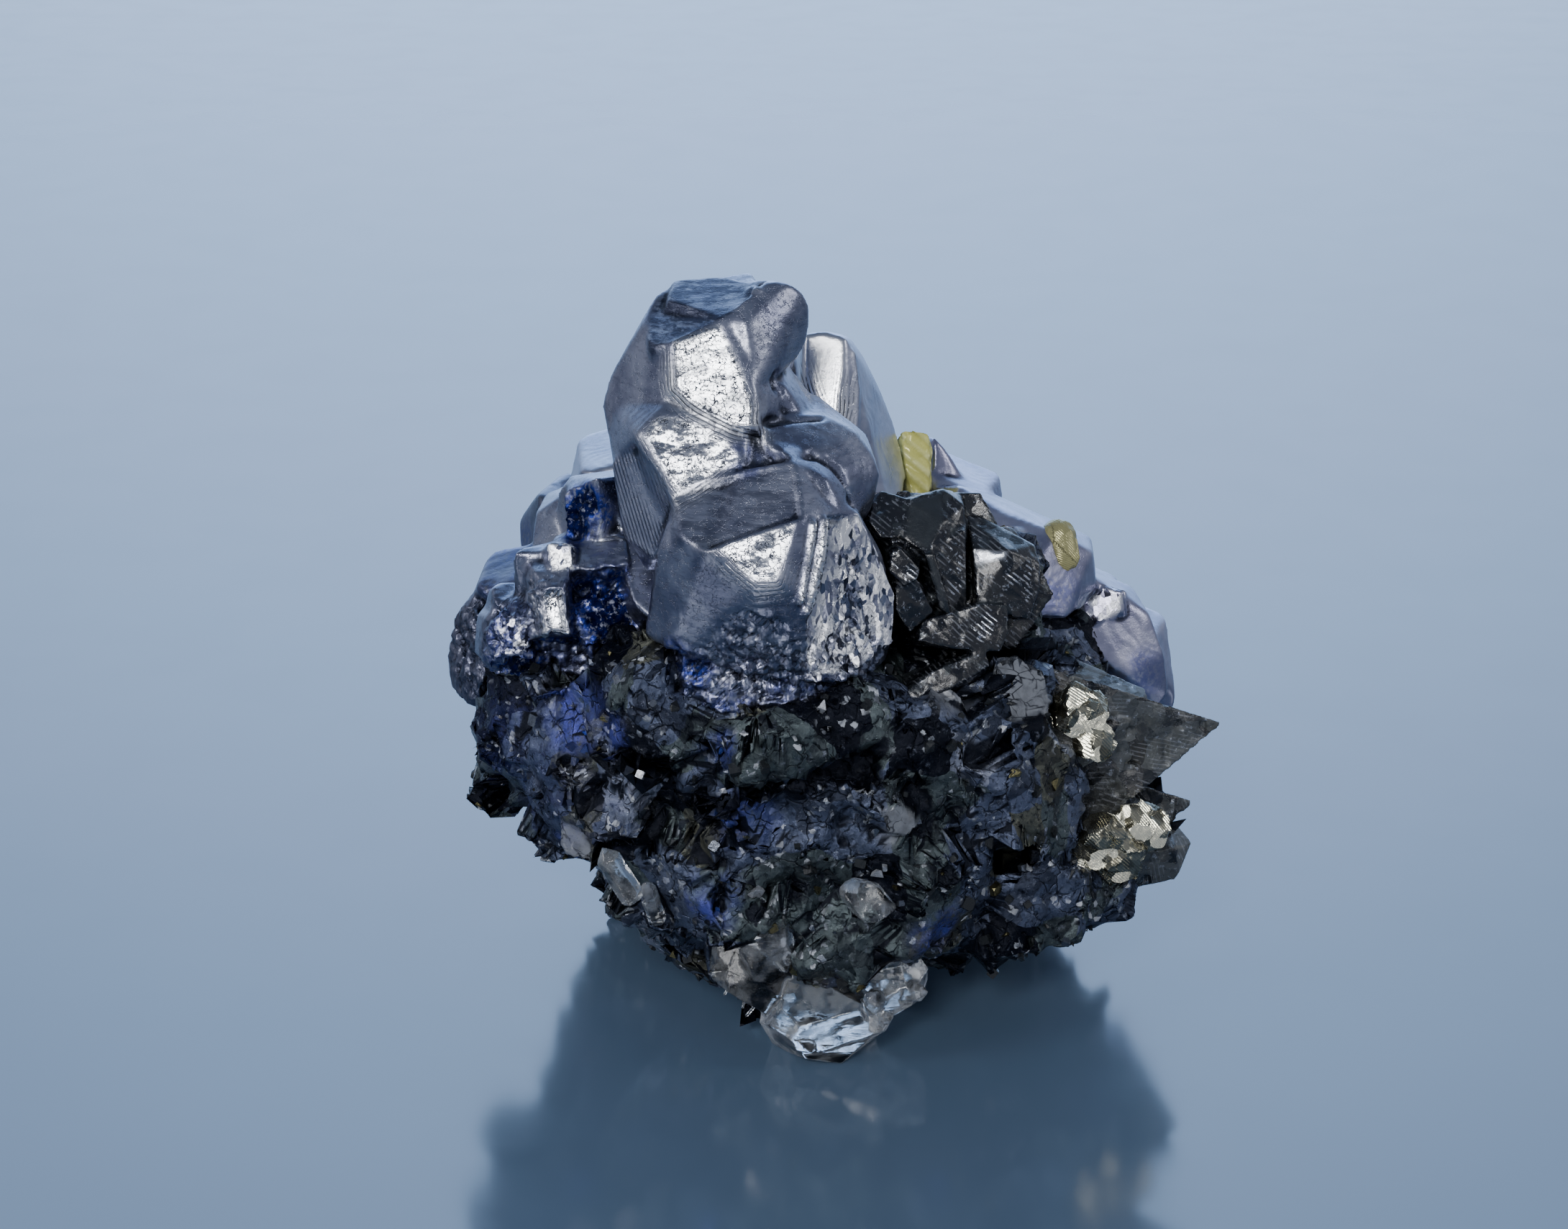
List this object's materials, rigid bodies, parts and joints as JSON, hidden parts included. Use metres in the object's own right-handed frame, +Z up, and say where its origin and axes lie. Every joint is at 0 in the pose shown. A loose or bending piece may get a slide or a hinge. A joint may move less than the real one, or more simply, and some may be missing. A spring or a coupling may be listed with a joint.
{
  "type": "galena with chalcopyrite mineral specimen",
  "caption": "Hand specimen of galena with chalcopyrite, sphalerite and quartz: a leaning tower of melted-looking crystals on a dark sulphide rock that rests on its pointed base.",
  "frame": {"origin": "middle of the specimen's bounding box in plan, at the level that it rests on", "axes": "+Z up, +X to the right of a viewer who faces the crystal tower's front, +Y away from that viewer"},
  "size_m": [0.0564, 0.0484, 0.0547],
  "materials": {
    "matrix": "dark grey-green granular sulphide rock, sparkling, with royal-blue tarnish in patches",
    "galena": "lead-grey metallic lustre, melted-looking rounded faces with growth lines, bluish tarnish low down",
    "sphalerite": "black resinous to submetallic lustre with fine parallel striations",
    "chalcopyrite": "brass-yellow metallic lustre, stepped and striated",
    "quartz": "clear to milky glassy quartz"
  },
  "bodies": {
    "root": {"matrix": "matrix", "galena_tower": "galena", "galena_rear": "galena", "galena_ridge": "galena", "galena_left": "galena", "galena_left_rear": "galena", "galena_back": "galena", "sphalerite_twin": "sphalerite", "sphalerite_block": "sphalerite", "sphalerite_spike": "sphalerite", "sphalerite_spur": "sphalerite", "chalcopyrite_crest": "chalcopyrite", "chalcopyrite_ridge": "chalcopyrite", "chalcopyrite_blades": "chalcopyrite", "chalcopyrite_spark": "chalcopyrite", "chalcopyrite_back": "chalcopyrite", "quartz_foot": "quartz", "quartz_lens": "quartz", "quartz_blade": "quartz", "quartz_needle": "quartz"}
  },
  "joints": []
}
